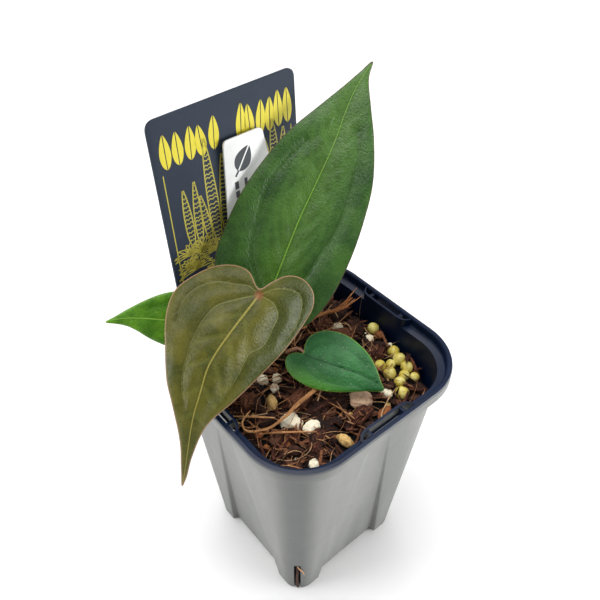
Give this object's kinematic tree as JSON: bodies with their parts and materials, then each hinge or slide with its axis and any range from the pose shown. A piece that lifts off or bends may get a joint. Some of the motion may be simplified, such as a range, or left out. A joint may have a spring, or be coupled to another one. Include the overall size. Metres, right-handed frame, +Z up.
{
  "type": "potted plant",
  "caption": "Young anthurium with heart-shaped leaves in a square tapered nursery pot of bark mix, with a picture tag and a plain label pushed in behind it.",
  "frame": {"origin": "centre of the flat pad in the middle of the pot's underside; the pot stands on the plane Z = 0", "axes": "+Z up along the pot's axis; X and Y along the pot's sides; the tags stand at the +Y side and the leaves look towards -X -Y"},
  "size_m": [0.092, 0.07, 0.1554],
  "materials": {
    "pot_plastic": "satin",
    "bark_mix": "matte",
    "leaf_mature": "satin",
    "leaf_deep": "satin",
    "leaf_new": "satin",
    "stalk": "satin",
    "stem_bark": "matte",
    "dry_sheath": "matte",
    "tag_card": "satin",
    "label_plastic": "satin",
    "bark_chunk": "matte",
    "perlite": "matte",
    "pumice": "matte",
    "prill": "satin",
    "fibre": "matte"
  },
  "bodies": {
    "root": {"pot": "pot_plastic", "potting_mix": "bark_mix", "leaf_bronze": "leaf_new", "leaf_tall": "leaf_mature", "leaf_small": "leaf_deep", "leaf_left": "leaf_mature", "stem": "stem_bark", "petiole_bronze": "stalk", "petiole_tall": "stalk", "petiole_small": "stalk", "petiole_left": "stalk", "cataphyll_1": "dry_sheath", "cataphyll_2": "dry_sheath", "picture_tag": "tag_card", "stick_label": "label_plastic", "bark_chunk_1": "bark_chunk", "bark_chunk_2": "bark_chunk", "bark_chunk_3": "bark_chunk", "bark_chunk_4": "bark_chunk", "bark_chunk_5": "bark_chunk", "bark_chunk_6": "bark_chunk", "bark_chunk_7": "bark_chunk", "bark_chunk_8": "bark_chunk", "bark_chunk_9": "bark_chunk", "bark_chunk_10": "bark_chunk", "bark_chunk_11": "bark_chunk", "bark_chunk_12": "bark_chunk", "perlite_1": "perlite", "perlite_2": "perlite", "perlite_3": "perlite", "perlite_4": "perlite", "perlite_5": "perlite", "perlite_6": "perlite", "perlite_7": "perlite", "perlite_8": "perlite", "perlite_9": "perlite", "pumice_1": "pumice", "pumice_2": "pumice", "pumice_3": "pumice", "pumice_4": "pumice", "fertiliser_prill_1": "prill", "fertiliser_prill_2": "prill", "fertiliser_prill_3": "prill", "fertiliser_prill_4": "prill", "fertiliser_prill_5": "prill", "fertiliser_prill_6": "prill", "fertiliser_prill_7": "prill", "fertiliser_prill_8": "prill", "fertiliser_prill_9": "prill", "fertiliser_prill_10": "prill", "fertiliser_prill_11": "prill", "fibre_long": "fibre", "fibre_thin_1": "fibre", "fibre_thin_2": "fibre", "husk_strand": "fibre", "slot_root": "fibre", "slot_fibre": "fibre"}
  },
  "joints": []
}
